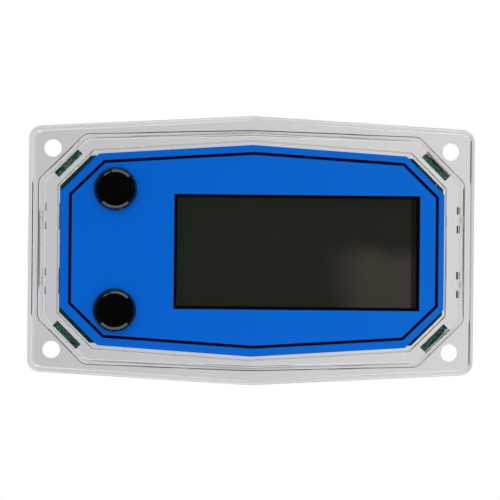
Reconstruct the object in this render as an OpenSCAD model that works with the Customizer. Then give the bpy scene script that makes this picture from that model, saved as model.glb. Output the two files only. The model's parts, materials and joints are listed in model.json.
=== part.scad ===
// Display head of a digital turbine flow meter, in millimetres.
// A clear moulded housing carries a printed label, two push buttons, a liquid crystal display, a
// circuit board with two coin cells, and the pickup coil that senses the rotor of the meter below.
// Every piece is drawn face up and then stood upright, so that the face looks along -Y.

/* [Display] */
// Width of the window in the label, through which the display is read
window_w = 56; // [44:0.5:68]
// Height of the window in the label
window_h = 26.2; // [21:0.2:32]
// Height of the window's middle over the head's middle
window_y = -0.3; // [-0.8:0.1:0.8]
// How far the glass reaches past the window on the left and right
glass_lap_x = 2; // [1.5:0.1:3]
// How far the glass reaches past the window above and below
glass_lap_y = 2.1; // [1.6:0.1:3]
// Thickness of each sheet of glass
glass_t = 1.1; // [0.7:0.1:1.4]
// Thickness of the polarising films
film_t = 0.2; // [0.1:0.05:0.3]
// Wall of the black frame round the glass
bezel_wall = 1.1; // [0.8:0.1:1.5]

/* [Buttons] */
// Diameter of a button's head
button_d = 9.3; // [7.5:0.1:11]
// Height of a button's head from its underside to its top
button_head_h = 1.7; // [1.4:0.1:2.5]
// Height of the dome on a button's head
button_dome_h = 0.4; // [0.2:0.05:0.5]
// Radius of the rounded rim of a button's head
button_rim_r = 0.9; // [0.4:0.05:1]
// Travel of a button when it is pressed
button_travel = 0.5; // [0.3:0.05:0.6]
// Distance from a button's middle to the frame round the glass
button_bezel_gap = 10.2; // [8:0.1:13]
// Distance from a button's middle to the board's left edge
button_edge_gap = 12.6; // [10:0.1:15]
// Distance from a button's middle to the label's nearer shoulder, along the height
button_shoulder_gap = 8; // [6.6:0.1:9.6]
// Diameter of a button's stem
stem_d = 4; // [3.2:0.1:4.8]
// Radial gap between a stem and its hole
stem_gap = 0.05; // [0.03:0.01:0.1]
// Gap between a button's edge and the label round it
button_label_gap = 0.25; // [0.15:0.05:0.4]

/* [Circuit board] */
// Distance from the frame round the glass to the board's right edge
board_margin = 2.4; // [1.8:0.1:4]
// Width of the board's chamfered corners along each side
board_chamfer = 7; // [6:0.1:8.6]
// Thickness of the board
board_t = 1.6; // [1:0.1:2]
// Depth of the board's back face inside the seating plane
board_recess = 0.2; // [0:0.05:0.4]
// Diameter of the posts that carry the board
post_d = 4; // [3.4:0.1:4.6]
// Distance of the right posts from the board's right edge
post_inset = 8; // [6.6:0.1:9.6]
// Diameter of the board's four screws
screw_d = 2; // [1.6:0.1:2.4]
// Length of the board's four screws under the head
screw_l = 5; // [4:0.5:6]

/* [Label] */
// How far the board's short edges reach past the label's
label_inset = 0.1; // [0:0.05:0.4]
// How far the label's shoulders reach past the board's long edges
label_lap = 0.4; // [0.2:0.05:0.7]
// Height of the peak in the middle of the label's long edges
label_peak = 2.3; // [1.6:0.1:3]
// Width of the label's chamfered corners along each side
label_chamfer = 8.7; // [7.2:0.1:10.2]
// Radius of the label's corners
label_corner_r = 0.7; // [0.3:0.1:1.5]
// Thickness of the label
label_t = 0.25; // [0.15:0.05:0.4]
// Depth of the label's face inside its pocket
label_sink = 0.1; // [0:0.05:0.3]
// Gap between the label's edge and the edge of its pocket
label_gap = 0.4; // [0.2:0.05:0.6]

/* [Pod] */
// Gap from the board's short edges to the walls of the cavity
cavity_side_gap = 0.6; // [0.4:0.05:0.9]
// Gap from the board's chamfered corners to the walls of the cavity
cavity_corner_gap = 0.6; // [0.4:0.05:0.8]
// Distance from the label's peaked edges outwards to the walls of the cavity
cavity_top_gap = 1.1; // [0.8:0.1:1.5]
// Radius of the cavity's corners
cavity_corner_r = 1.2; // [0.6:0.1:2]
// Radius between the cavity's walls and its ceiling
cavity_round = 0.4; // [0.2:0.05:0.6]
// Thickness of the pod's side walls at the pod's foot
pod_wall = 4.2; // [3.6:0.1:5]
// Distance from the label's shoulders to the foot of the pod, along the height
pod_shoulder_gap = 4.4; // [3.6:0.1:5.4]
// Height of the peak in the middle of the pod's long edges
pod_peak = 1.1; // [0.8:0.1:2]
// Width of the pod's chamfered corners along each side
pod_chamfer = 10.4; // [9.6:0.1:11.4]
// How far the pod's sides slope inwards from foot to front
pod_slope = 1; // [0.6:0.1:1.3]
// Radius of the pod's corners, seen from the front
pod_corner_r = 2.4; // [1:0.1:3.5]
// Radius of the pod's rounded front edge
pod_round = 0.5; // [0.2:0.1:0.8]
// Thickness of the pod's roof under the label
roof_t = 2; // [1.5:0.1:2.6]

/* [Flange] */
// Width of the flange beside the pod
flange_border = 2.4; // [1.8:0.1:4]
// Height of the flange over the pod's shoulders
flange_shoulder_gap = 1.8; // [1.4:0.1:3]
// Height of the peak in the middle of the flange's long edges
flange_peak = 2.8; // [1.6:0.1:4]
// Thickness of the flange at its flat front face
flange_t = 3.2; // [2.4:0.1:4.5]
// Rise of the sloping border up to the flat front face
flange_drop = 0.25; // [0.1:0.05:0.5]
// Height of the small step between the rounded edge and the sloping border
flange_step = 0.6; // [0.3:0.1:0.8]
// Width of that step
flange_step_run = 0.3; // [0.1:0.05:0.4]
// Width of the sloping border beside the flat front face
flange_slope_x = 0.6; // [0.2:0.1:1.2]
// Height of the sloping border over the flat front face, at the corners
flange_slope_y = 0.1; // [0:0.1:0.6]
// Radius of the flange's four corners
flange_corner_r = 2.9; // [2:0.1:4]
// Radius of the flange's rounded front edge
flange_round = 0.8; // [0.3:0.1:1]

/* [Screw holes] */
// Diameter of the screw holes
hole_d = 4; // [3:0.1:4.6]
// Distance from a hole's middle to the flange's short edge
hole_edge_x = 5.5; // [4.4:0.1:6.2]
// Distance from a hole's middle to the level of the flange's corners
hole_edge_y = 5; // [4.2:0.1:5.8]

/* [Cells and pickup coil] */
// Diameter of a coin cell
cell_d = 24.5; // [20:0.5:29]
// Thickness of a coin cell
cell_t = 5; // [3.2:0.1:6]
// Wall of a cell's holder
holder_wall = 1.3; // [1:0.1:1.6]
// Gap between the pickup coil's flange and a cell's holder
cell_coil_gap = 4.75; // [3.5:0.25:6]
// Diameter of the pickup coil's flanges
coil_d = 13; // [10:0.5:15.5]
// Length of the pickup coil
coil_l = 9; // [6:0.5:12]
// Diameter of the pickup coil's iron core
core_d = 4; // [3:0.2:5]

/* [Hidden] */

// Overrun of a cut past the face that it opens
cut = 0.5;
// Smoothness of round features, degrees in each step of a rounded corner, and steps in a rounded edge
round_fn = 64;
corner_step = 9;
edge_steps = 4;
// Thickness of the thin slabs that a sloping shell is drawn between
slab_t = 0.01;
// Gap between pieces that lie against each other without a fit
rest_gap = 0.02;

// Level of the board's front face over the seating plane
board_front_z = board_recess + board_t;

// Switches under the buttons
switch_w = 6;
switch_h = 2.4;
switch_corner_r = 0.4;
plunger_d = 3.4;
plunger_rise = 0.9;
plunger_sink = 1;
plunger_gap = 0.05;
switch_top_z = board_front_z + switch_h;
plunger_top_z = switch_top_z + plunger_rise;
terminal_w = 0.8;
terminal_l = 1.1;
terminal_t = 0.3;
terminal_pitch = 4.5;

// Stems of the buttons, each with a tail under its retaining clip
stem_tail = 0.53;
clip_t = 0.5;
clip_lip = 1.2;
clip_groove = 0.5;
clip_gap = 0.1;
clip_slot_w = 2.6;
clip_neck_d = stem_d - 2 * clip_groove;
clip_d = stem_d + 2 * clip_lip;
clip_z = plunger_top_z + rest_gap + stem_tail;
ring_cord_d = 0.8;
ring_groove_slack = 0.05;

// The pod's height comes from what stands on the board
ceiling_z = clip_z + clip_t + clip_gap;
pocket_z = ceiling_z + roof_t;
pod_h = pocket_z + label_t + label_sink;
button_gap = 0.15;
button_foot_z = pocket_z + button_travel + button_gap;

// Level of the flange's rounded outer edge
flange_edge_z = flange_t - flange_drop - flange_step;

// Seal groove in the back face
seal_w = 1;
seal_h = 1.1;
seal_gap = 0.1;
seal_depth = 0.9;
seal_inset = 0.3;
seal_corner_r = 2;

// Pockets in the back face that thin the thick corners, with sloping roofs that mirror the board's
// edge
mirror_wall = 1;
mirror_seal_gap = 0.4;
mirror_l = 7.6;
mirror_angle = 49;
mirror_lift = 0.35;

// Notches in the back face that thin the side walls: a groove with a sloping roof, and a half-round
// socket in its middle
notch_l = 6;
notch_run = 0.4;
notch_lift = 0.5;
notch_pitch = 14.8;
notch_seal_gap = 0.4;
socket_r = 1.3;
socket_depth = 1.4;

// Round marks of the mould's pins on the flange's front, under the pod
pin_mark_d = 4.2;
pin_mark_depth = 0.08;
pin_mark_pitch = 31.8;
pin_mark_rise = 0.3;

// Stubs of the break-off tabs on the board's short edges, beside the notches
tab_l = 6;
tab_reach = 0.15;

// Display stack
glass_w = window_w + 2 * glass_lap_x;
glass_h = window_h + 2 * glass_lap_y;
lcd_gap = 0.15;
lcd_front_z = ceiling_z - lcd_gap;
front_glass_z = lcd_front_z - film_t - glass_t;
rear_glass_z = front_glass_z - glass_t;
rear_film_z = rear_glass_z - film_t;
contact_edge = 2.2;
film_margin = 0.6;
bezel_gap = 0.1;
bezel_ledge = 1.2;
bezel_w = glass_w + 2 * (bezel_gap + bezel_wall);
bezel_h = glass_h + 2 * (bezel_gap + bezel_wall);
strip_w = 1.6;
strip_end_gap = 4;

// The right posts stand over and under the frame round the glass, and the board reaches past them
post_bezel_gap = 0.2;
post_edge_gap = 0.5;
right_post_y = bezel_h / 2 + abs(window_y) + post_bezel_gap + post_d / 2;
board_h = 2 * (right_post_y + post_d / 2 + post_edge_gap);
board_w = button_edge_gap + button_bezel_gap + bezel_w + board_margin;

// Widths and heights of the label, pod and flange grow from the board's
label_w = board_w - 2 * label_inset;
label_shoulder_h = board_h + 2 * label_lap;
cavity_w = board_w + 2 * cavity_side_gap;
pod_w = cavity_w + 2 * pod_wall;
pod_shoulder_h = label_shoulder_h + 2 * pod_shoulder_gap;
flange_w = pod_w + 2 * flange_border;
flange_corner_h = pod_shoulder_h + 2 * flange_shoulder_gap;
hole_pitch_x = flange_w - 2 * hole_edge_x;
hole_pitch_y = flange_corner_h - 2 * hole_edge_y;

// Middle of the window and of the upper button
window_x = board_w / 2 - board_margin - bezel_w / 2;
button_x = button_edge_gap - board_w / 2;
button_y = label_shoulder_h / 2 - button_shoulder_gap;

// The left posts stand beside the switches
post_switch_gap = 0.4;
post_rise = 1.2;
left_post_x = button_x - switch_w / 2 - terminal_l - post_switch_gap - post_d / 2;
left_post_y = button_y + post_rise;
right_post_x = board_w / 2 - post_inset;
POSTS = [
  [left_post_x, left_post_y],
  [left_post_x, -left_post_y],
  [right_post_x, right_post_y],
  [right_post_x, -right_post_y]
];
post_screw_gap = 0.05;
board_hole_gap = 0.15;
screw_head_d = 3.6;
screw_head_h = 1.2;
screw_tip_gap = 0.4;
screw_hole_top_z = board_recess + screw_l + screw_tip_gap;
screw_slot_w = 0.5;
screw_slot_d = 0.5;

// Chip, crystal and small parts on the board's back face
chip_w = 7;
chip_t = 1.2;
chip_lift = 0.1;
chip_edge_gap = 5.9;
chip_y = board_h / 2 - chip_edge_gap;
lead_count = 8;
lead_pitch = 0.8;
lead_w = 0.35;
lead_t = 0.18;
lead_reach = 1;
lead_foot = 0.45;
lead_height = 0.6;
crystal_w = 8;
crystal_h = 3.4;
crystal_t = 2.2;
crystal_x = 12.5;
chip_part_l = 2;
chip_part_w = 1.25;
chip_part_t = 0.55;
capacitor_t = 0.9;
part_pitch = 2.6;
resistor_count = 5;
capacitor_count = 4;
part_x = 6.5;
part_edge_gap = 2.9;
part_y = board_h / 2 - part_edge_gap;

// Coin cells, their holders and contacts
holder_base_t = 0.8;
holder_gap = 0.2;
holder_rim = 3.6;
cell_lift = 0.5;
cell_rim_r = 0.6;
cell_can_step = 0.5;
cell_cap_gap = 1.6;
clip_strip_w = 6;
clip_strip_t = 0.4;
clip_side_gap = 0.1;
spring_w = 4;
spring_l = 14;
spring_t = 0.25;
holder_d = cell_d + 2 * (holder_gap + holder_wall);
cell_x = coil_d / 2 + cell_coil_gap + holder_d / 2;
cell_z = board_recess - holder_base_t - cell_lift;
cell_back_z = cell_z - cell_t;

// Pickup coil
coil_flange_t = 1;
coil_tube_wall = 0.7;
coil_fill_gap = 0.5;
core_gap = 0.05;
core_proud = 1;
core_sink = 0.3;
coil_lead_d = 0.4;
coil_lead_l = 2.7;

// Outward normal of an edge from p to q of an outline that runs counter-clockwise
function edge_normal(p, q) = [q[1] - p[1], p[0] - q[0]] / norm(q - p);

// Neighbours of point i on a closed outline
function before(pts, i) = pts[(i + len(pts) - 1) % len(pts)];
function after(pts, i) = pts[(i + 1) % len(pts)];

// An outline with each edge moved outwards by d
function grown(pts, d) = [
  for (i = [0 : len(pts) - 1])
    let (n1 = edge_normal(before(pts, i), pts[i]), n2 = edge_normal(pts[i], after(pts, i)))
      pts[i] + d * (n1 + n2) / (1 + n1 * n2)
];

// An outline with each corner turned into an arc of radius r
function rounded(pts, r) = [
  for (i = [0 : len(pts) - 1])
    let (
      n1 = edge_normal(before(pts, i), pts[i]),
      n2 = edge_normal(pts[i], after(pts, i)),
      centre = pts[i] - r * (n1 + n2) / (1 + n1 * n2),
      start = atan2(n1[1], n1[0]),
      turn = acos(n1 * n2),
      steps = max(1, round(turn / corner_step))
    )
      for (k = [0 : steps])
        centre + r * [cos(start + turn * k / steps), sin(start + turn * k / steps)]
];

// A whole outline from the points of its upper right quarter, the last of them on the middle line
function mirrored(quarter) = let (n = len(quarter)) concat(
  quarter,
  [for (i = [n - 2 : -1 : 0]) [-quarter[i][0], quarter[i][1]]],
  [for (i = [0 : n - 1]) [-quarter[i][0], -quarter[i][1]]],
  [for (i = [n - 2 : -1 : 0]) [quarter[i][0], -quarter[i][1]]]
);

// A rectangle's outline, counter-clockwise
function rectangle(w, h) = [[w / 2, h / 2], [-w / 2, h / 2], [-w / 2, -h / 2], [w / 2, -h / 2]];

// An outline with straight sides, chamfered corners and a peak above and below
function peaked_outline(w, shoulder_h, chamfer, peak) = mirrored([
  [w / 2, shoulder_h / 2 - chamfer],
  [w / 2 - chamfer, shoulder_h / 2],
  [0, shoulder_h / 2 + peak]
]);

flange_points = mirrored([[flange_w / 2, flange_corner_h / 2], [0, flange_corner_h / 2 + flange_peak]]);
flange_rim = flange_round + flange_step_run;
flat_points = rectangle(
  flange_w - 2 * (flange_rim + flange_slope_x),
  flange_corner_h - 2 * (flange_rim + flange_slope_y));
pod_points = peaked_outline(pod_w, pod_shoulder_h, pod_chamfer, pod_peak);
label_points = peaked_outline(label_w, label_shoulder_h, label_chamfer, label_peak);

// The board's chamfered corners lie on lines where |x| + |y| is board_corner_sum, and the middle of
// each lies corner_shift along its line from where the line of 45 degrees crosses it
board_corner_sum = (board_w + board_h) / 2 - board_chamfer;
corner_shift = (board_h - board_w) / 2 / sqrt(2);
board_points = mirrored([
  [board_w / 2, board_corner_sum - board_w / 2],
  [board_corner_sum - board_h / 2, board_h / 2],
  [0, board_h / 2]
]);

// The cavity's chamfers run along the board's, and its top along the label's
label_top_rise = label_peak / (label_w / 2 - label_chamfer);
cavity_apex_y = label_shoulder_h / 2 + label_peak + cavity_top_gap;
cavity_corner_sum = board_corner_sum + cavity_corner_gap * sqrt(2);
cavity_shoulder_x = (cavity_corner_sum - cavity_apex_y) / (1 - label_top_rise);
cavity_points = mirrored([
  [cavity_w / 2, cavity_corner_sum - cavity_w / 2],
  [cavity_shoulder_x, cavity_corner_sum - cavity_shoulder_x],
  [0, cavity_apex_y]
]);

// Middle line of the seal groove, just inside the pod's foot, and how far the groove reaches inwards
seal_points = grown(pod_points, -seal_inset);
seal_reach = seal_inset + seal_w / 2 + seal_gap;

// The pod's chamfered corners lie on lines where |x| + |y| is pod_corner_sum, and the mirror pockets
// lie between them and the cavity's
pod_corner_sum = (pod_w + pod_shoulder_h) / 2 - pod_chamfer;
mirror_start = cavity_corner_sum / sqrt(2) + mirror_wall;
mirror_run = pod_corner_sum / sqrt(2) - seal_reach - mirror_seal_gap - mirror_start;

// Stands a piece that is drawn face up on its edge, with its face towards -Y
module upright() {
  rotate([90, 0, 0]) children();
}

// A solid of an outline between two levels
module layer(pts, z0, z1) {
  translate([0, 0, z0]) linear_extrude(z1 - z0) polygon(pts);
}

// A box centred on [x, y] between two levels
module block(x, y, w, h, z0, z1) {
  translate([x - w / 2, y - h / 2, z0]) cube([w, h, z1 - z0]);
}

// A round bar along the viewing direction between two levels
module rod(x, y, d, z0, z1) {
  translate([x, y, z0]) cylinder(d = d, h = z1 - z0, $fn = round_fn);
}

// Copies for each of the four corners of a rectangle with half sides x and y
module corners(x, y) {
  for (sx = [-1, 1], sy = [-1, 1]) translate([sx * x, sy * y, 0]) children();
}

// Places a piece at the upper button, or with side -1 at the lower one
module at_button(side) {
  translate([button_x, side * button_y, 0]) children();
}

// Places a piece at the right coin cell, or with side -1 at the left one
module at_cell(side) {
  translate([side * cell_x, 0, 0]) children();
}

// The flange, with a rounded edge, a small step, and a border that slopes up to the flat face
module flange_body() {
  hull() {
    layer(rounded(flange_points, flange_corner_r), 0, flange_edge_z - flange_round);
    for (k = [1 : edge_steps])
      let (a = 90 * k / edge_steps, inset = flange_round * (1 - cos(a)))
        layer(rounded(grown(flange_points, -inset), flange_corner_r - inset),
          flange_edge_z - flange_round * (1 - sin(a)) - slab_t,
          flange_edge_z - flange_round * (1 - sin(a)));
  }
  hull() {
    layer(rounded(grown(flange_points, -flange_round), flange_corner_r - flange_round), 0, flange_edge_z);
    layer(rounded(grown(flange_points, -flange_rim), flange_corner_r - flange_rim), 0,
      flange_edge_z + flange_step);
    layer(rounded(flat_points, flange_corner_r - flange_rim), 0, flange_t);
  }
}

// The raised pod, with drafted sides and a rounded front edge
module pod_body() {
  hull() {
    layer(rounded(pod_points, pod_corner_r), flange_t - flange_round, flange_t);
    for (k = [0 : edge_steps])
      let (
        a = 90 * k / edge_steps,
        inset = pod_slope + pod_round * (1 - cos(a)),
        z = pod_h - pod_round * (1 - sin(a))
      )
        layer(rounded(grown(pod_points, -inset), pod_corner_r), z - slab_t, z);
  }
}

// The cavity behind the label, with a rounded edge round its ceiling
module cavity() {
  hull() {
    layer(rounded(cavity_points, cavity_corner_r), -cut, ceiling_z - cavity_round);
    for (k = [1 : edge_steps])
      let (a = 90 * k / edge_steps, inset = cavity_round * (1 - cos(a)))
        layer(rounded(grown(cavity_points, -inset), cavity_corner_r - inset),
          ceiling_z - cavity_round, ceiling_z - cavity_round * (1 - sin(a)));
  }
}

// A cutter of length l that starts at x, with a roof that slopes up from level z over a width of run
module sloped_cutter(x, l, run, z) {
  translate([x, l / 2, 0]) rotate([90, 0, 0]) linear_extrude(l)
    polygon([[0, -cut], [run, -cut], [run, z + run * tan(mirror_angle)], [0, z]]);
}

// A cutter for the pocket behind one chamfered corner, drawn at the upper right corner
module mirror_pocket() {
  rotate([0, 0, 45]) translate([0, corner_shift, 0])
    sloped_cutter(mirror_start, mirror_l, mirror_run, board_recess + mirror_lift);
}

// A cutter for a notch in the back face, drawn on the right side
module side_notch() {
  x1 = pod_w / 2 - seal_reach - notch_seal_gap;
  sloped_cutter(x1 - notch_run, notch_l, notch_run, board_recess + notch_lift);
  intersection() {
    rod(x1, 0, 2 * socket_r, -cut, socket_depth);
    block(x1 - socket_r, 0, 2 * socket_r, 2 * socket_r, -cut, socket_depth);
  }
}

module front_housing() {
  color("gainsboro", 0.35) upright() {
    difference() {
      union() {
        difference() {
          union() {
            difference() {
              flange_body();
              for (sx = [-1, 1]) rod(sx * pin_mark_pitch / 2, pin_mark_rise - flange_corner_h / 2,
                pin_mark_d, flange_t - pin_mark_depth, pod_h);
            }
            pod_body();
          }
          cavity();
        }
        for (p = POSTS) rod(p[0], p[1], post_d, board_front_z, ceiling_z + cut);
      }
      layer(rounded(grown(label_points, label_gap), label_corner_r + label_gap), pocket_z, pod_h + cut);
      corners(hole_pitch_x / 2, hole_pitch_y / 2) rod(0, 0, hole_d, -cut, pod_h);
      for (side = [-1, 1]) at_button(side)
        rod(0, 0, stem_d + 2 * stem_gap, ceiling_z - cut, pod_h);
      for (p = POSTS)
        rod(p[0], p[1], screw_d + 2 * post_screw_gap, board_front_z - cut, screw_hole_top_z);
      difference() {
        layer(rounded(grown(seal_points, seal_w / 2 + seal_gap), seal_corner_r + seal_w / 2),
          -cut, seal_depth);
        layer(rounded(grown(seal_points, -seal_w / 2 - seal_gap), seal_corner_r - seal_w / 2),
          -2 * cut, seal_depth + cut);
      }
      for (mx = [0, 1], my = [0, 1]) mirror([mx, 0, 0]) mirror([0, my, 0]) mirror_pocket();
      for (mx = [0, 1], side = [-1, 1]) mirror([mx, 0, 0]) translate([0, side * notch_pitch / 2, 0])
        side_notch();
    }
  }
}

module face_label() {
  color("dodgerblue") upright() difference() {
    layer(rounded(label_points, label_corner_r), pocket_z, pocket_z + label_t);
    block(window_x, window_y, window_w, window_h, pocket_z - cut, pod_h + cut);
    for (side = [-1, 1]) at_button(side)
      rod(0, 0, button_d + 2 * button_label_gap, pocket_z - cut, pod_h + cut);
  }
}

module perimeter_seal() {
  color("lightgray") upright() difference() {
    layer(rounded(grown(seal_points, seal_w / 2), seal_corner_r + seal_w / 2),
      seal_depth - seal_h, seal_depth);
    layer(rounded(grown(seal_points, -seal_w / 2), seal_corner_r - seal_w / 2),
      seal_depth - seal_h - cut, seal_depth + cut);
  }
}

// Level of the middle of the sealing ring's groove in a stem
ring_z = ceiling_z + roof_t / 2;
ring_centre_r = (stem_d - ring_cord_d) / 2;

// Profile of a button's head, from its underside to the middle of its dome
function button_profile() = concat(
  [[0, button_foot_z], [button_d / 2, button_foot_z]],
  [for (k = [0 : edge_steps]) let (a = 90 * k / edge_steps) [
    button_d / 2 - button_rim_r * (1 - cos(a)),
    button_foot_z + button_head_h - button_dome_h - button_rim_r * (1 - sin(a))
  ]],
  [for (k = [1 : edge_steps]) let (s = 1 - k / edge_steps) [
    (button_d / 2 - button_rim_r) * s,
    button_foot_z + button_head_h - button_dome_h * s * s
  ]]
);

module push_button(side) {
  color([0.03, 0.03, 0.04]) upright() at_button(side) {
    difference() {
      union() {
        rotate_extrude($fn = round_fn) polygon(button_profile());
        rod(0, 0, stem_d, plunger_top_z + rest_gap, button_foot_z + button_rim_r);
      }
      neck_cut(clip_neck_d, clip_z - rest_gap, clip_z + clip_t + rest_gap);
      neck_cut(2 * ring_centre_r - ring_cord_d - 2 * ring_groove_slack,
        ring_z - ring_cord_d / 2 - ring_groove_slack, ring_z + ring_cord_d / 2 + ring_groove_slack);
    }
  }
}

// A ring-shaped cut that leaves a neck of diameter d in a stem
module neck_cut(d, z0, z1) {
  difference() {
    rod(0, 0, stem_d + 2 * cut, z0, z1);
    rod(0, 0, d, z0 - cut, z1 + cut);
  }
}

module button_ring(side) {
  color([0.08, 0.08, 0.08]) upright() at_button(side) translate([0, 0, ring_z])
    rotate_extrude($fn = round_fn) translate([ring_centre_r, 0]) circle(d = ring_cord_d, $fn = 24);
}

module button_clip(side) {
  color("silver") upright() at_button(side) difference() {
    rod(0, 0, clip_d, clip_z, clip_z + clip_t);
    rod(0, 0, clip_neck_d + 2 * rest_gap, clip_z - cut, clip_z + clip_t + cut);
    block(-clip_d / 2, 0, clip_d, clip_slot_w, clip_z - cut, clip_z + clip_t + cut);
  }
}

module switch_body(side) {
  bore_z = switch_top_z - plunger_sink - button_travel - rest_gap;
  color([0.12, 0.12, 0.13]) upright() at_button(side) difference() {
    layer(rounded(rectangle(switch_w, switch_w), switch_corner_r), board_front_z, switch_top_z);
    rod(0, 0, plunger_d + 2 * plunger_gap, bore_z, switch_top_z + cut);
  }
}

module switch_plunger(side) {
  color([0.25, 0.25, 0.26]) upright() at_button(side)
    rod(0, 0, plunger_d, switch_top_z - plunger_sink, plunger_top_z);
}

module switch_terminals() {
  color("silver") upright() for (side = [-1, 1]) at_button(side)
    corners((switch_w + terminal_l) / 2, terminal_pitch / 2)
      block(0, 0, terminal_l, terminal_w, board_front_z, board_front_z + terminal_t);
}

// Places a piece at the middle of the display window
module at_window() {
  translate([window_x, window_y, 0]) children();
}

// Height of the rear glass, which leaves the front glass's contact edges free
rear_glass_h = glass_h - 2 * contact_edge;

module lcd_front_film() {
  color("darkolivegreen") upright() at_window()
    block(0, 0, glass_w - 2 * film_margin, glass_h - 2 * film_margin, lcd_front_z - film_t, lcd_front_z);
}

module lcd_front_glass() {
  color("lightsteelblue", 0.6) upright() at_window()
    block(0, 0, glass_w, glass_h, front_glass_z, front_glass_z + glass_t);
}

module lcd_rear_glass() {
  color("lightsteelblue", 0.6) upright() at_window()
    block(0, 0, glass_w, rear_glass_h, rear_glass_z, rear_glass_z + glass_t);
}

module lcd_rear_film() {
  color("silver") upright() at_window()
    block(0, 0, glass_w - 2 * (bezel_ledge + film_margin), rear_glass_h - 2 * film_margin,
      rear_film_z, rear_film_z + film_t);
}

module lcd_bezel() {
  inner_w = glass_w + 2 * bezel_gap;
  inner_h = glass_h + 2 * bezel_gap;
  color([0.05, 0.05, 0.05]) upright() at_window() difference() {
    block(0, 0, bezel_w, bezel_h, board_front_z, lcd_front_z);
    block(0, 0, inner_w, inner_h, rear_glass_z, lcd_front_z + cut);
    block(0, 0, glass_w - 2 * bezel_ledge, inner_h, board_front_z - cut, rear_glass_z + cut);
  }
}

module contact_strips() {
  strip_y = (glass_h - contact_edge) / 2;
  color("dimgray") upright() at_window() for (sy = [-1, 1])
    block(0, sy * strip_y, glass_w - 2 * strip_end_gap, strip_w, board_front_z, front_glass_z);
}

module circuit_board() {
  color("seagreen") upright() difference() {
    union() {
      layer(board_points, board_recess, board_front_z);
      for (sx = [-1, 1], sy = [-1, 1])
        block(sx * (board_w / 2 - tab_reach), sy * notch_pitch / 2, 4 * tab_reach, tab_l,
          board_recess, board_front_z);
    }
    for (p = POSTS)
      rod(p[0], p[1], screw_d + 2 * board_hole_gap, board_recess - cut, board_front_z + cut);
  }
}

module board_screws() {
  color("silver") upright() for (p = POSTS) translate([p[0], p[1], 0]) difference() {
    union() {
      rod(0, 0, screw_head_d, board_recess - screw_head_h, board_recess);
      rod(0, 0, screw_d, board_recess - screw_head_h / 2, board_recess + screw_l);
    }
    for (turn = [0, 90]) rotate([0, 0, turn])
      block(0, 0, screw_head_d * 2 / 3, screw_slot_w, board_recess - screw_head_h - cut,
        board_recess - screw_head_h + screw_slot_d);
  }
}

// Back face of the chip's body, which stands clear of the board on its leads
chip_back_z = board_recess - chip_lift - chip_t;

module controller_chip() {
  color([0.1, 0.1, 0.11]) upright() translate([0, -chip_y, 0])
    block(0, 0, chip_w, chip_w, chip_back_z, board_recess - chip_lift);
}

// One bent lead, drawn as its side view, that leaves the chip's body along +X
module chip_lead() {
  foot_z = board_recess;
  neck_z = board_recess - lead_height;
  translate([chip_w / 2, lead_w / 2, 0]) rotate([90, 0, 0]) linear_extrude(lead_w) polygon([
    [0, neck_z],
    [lead_reach - lead_foot, neck_z],
    [lead_reach - lead_foot, foot_z - lead_t],
    [lead_reach, foot_z - lead_t],
    [lead_reach, foot_z],
    [lead_reach - lead_foot - lead_t, foot_z],
    [lead_reach - lead_foot - lead_t, neck_z + lead_t],
    [0, neck_z + lead_t]
  ]);
}

module chip_leads() {
  first = -(lead_count - 1) / 2 * lead_pitch;
  color("silver") upright() translate([0, -chip_y, 0]) for (turn = [0 : 90 : 270]) rotate([0, 0, turn])
    for (k = [0 : lead_count - 1]) translate([0, first + k * lead_pitch, 0]) chip_lead();
}

module crystal() {
  color("silver") upright() translate([crystal_x, -part_y, 0])
    layer(rounded(rectangle(crystal_w, crystal_h), crystal_h * 2 / 5), board_recess - crystal_t,
      board_recess);
}

// A row of small parts on the board's back face, beside the middle line
module part_row(side, count, t) {
  for (k = [0 : count - 1]) translate([side * (part_x + k * part_pitch), part_y, 0])
    block(0, 0, chip_part_w, chip_part_l, board_recess - t, board_recess);
}

module chip_resistors() {
  color([0.15, 0.15, 0.16]) upright() part_row(-1, resistor_count, chip_part_t);
}

module chip_capacitors() {
  color("tan") upright() part_row(1, capacitor_count, capacitor_t);
}

module battery_holder(side) {
  slot_w = clip_strip_w + 2 * holder_gap;
  color([0.1, 0.1, 0.1]) upright() at_cell(side) difference() {
    rod(0, 0, holder_d, board_recess - holder_base_t - holder_rim, board_recess);
    rod(0, 0, cell_d + 2 * holder_gap, board_recess - holder_base_t - holder_rim - cut,
      board_recess - holder_base_t);
    block(0, 0, slot_w, holder_d + 2 * cut, board_recess - holder_base_t - holder_rim - cut,
      board_recess - holder_base_t);
  }
}

// A coin cell: a can with a rounded edge, whose cap of smaller diameter faces the board
module coin_cell(side) {
  color("silver") upright() at_cell(side) rotate_extrude($fn = round_fn) polygon(concat(
    [
      [0, cell_z],
      [cell_d / 2 - cell_cap_gap, cell_z],
      [cell_d / 2 - cell_cap_gap, cell_z - cell_can_step],
      [cell_d / 2, cell_z - cell_can_step]
    ],
    [for (k = [0 : edge_steps]) let (a = 90 * k / edge_steps) [
      cell_d / 2 - cell_rim_r * (1 - cos(a)),
      cell_back_z + cell_rim_r * (1 - sin(a))
    ]],
    [[0, cell_back_z]]
  ));
}

module battery_positive_clips() {
  span = cell_d + 2 * (holder_gap + clip_side_gap);
  color("lightgray") upright() for (side = [-1, 1]) at_cell(side) difference() {
    block(0, 0, clip_strip_w, span + 2 * clip_strip_t, cell_back_z - clip_strip_t,
      board_recess - holder_base_t);
    block(0, 0, clip_strip_w + 2 * cut, span, cell_back_z, board_recess);
  }
}

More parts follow.
